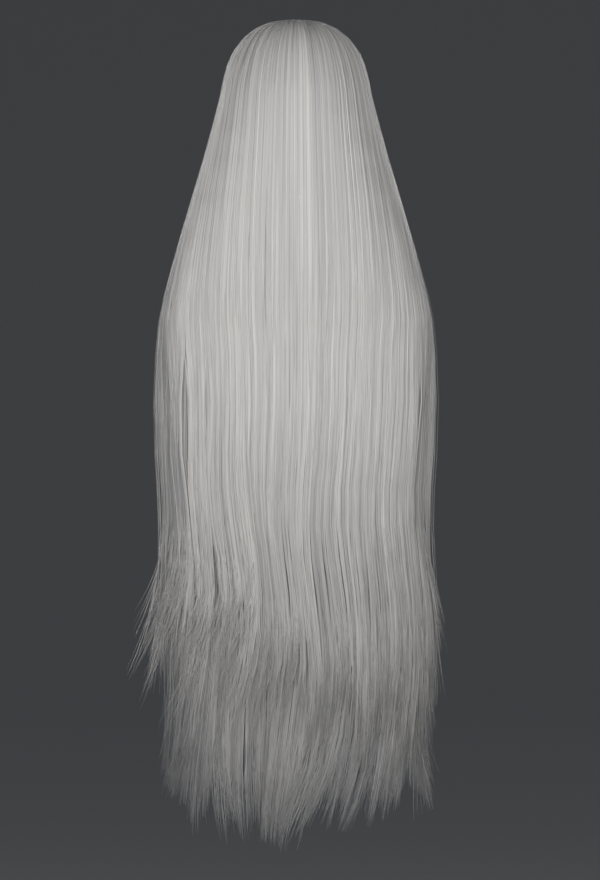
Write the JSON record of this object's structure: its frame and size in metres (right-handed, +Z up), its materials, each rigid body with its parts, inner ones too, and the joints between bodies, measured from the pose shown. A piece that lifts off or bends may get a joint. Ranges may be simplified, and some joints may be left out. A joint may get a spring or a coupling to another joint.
{
  "type": "long straight wig",
  "caption": "Long straight silver-white costume wig in its worn form: a stretch cap with hair from a middle parting, falling behind and in front of the shoulders in tapered locks",
  "frame": {"origin": "the inside of the cap at the crown, where the top of the wearer's head touches it", "axes": "+Z is up along the hanging hair, +Y is the wearer's back, so the face looks along -Y, and +X is the wearer's left"},
  "size_m": [0.3461, 0.2388, 0.9601],
  "materials": {
    "hair_fibre": "straight synthetic fibre, silver white with a soft sheen",
    "cap_net": "matt stretch net with sewn bands"
  },
  "bodies": {
    "root": {"wig_cap": "cap_net", "back_hair": "hair_fibre", "nape_hair": "hair_fibre", "side_hair_left": "hair_fibre", "side_hair_right": "hair_fibre"}
  },
  "joints": []
}
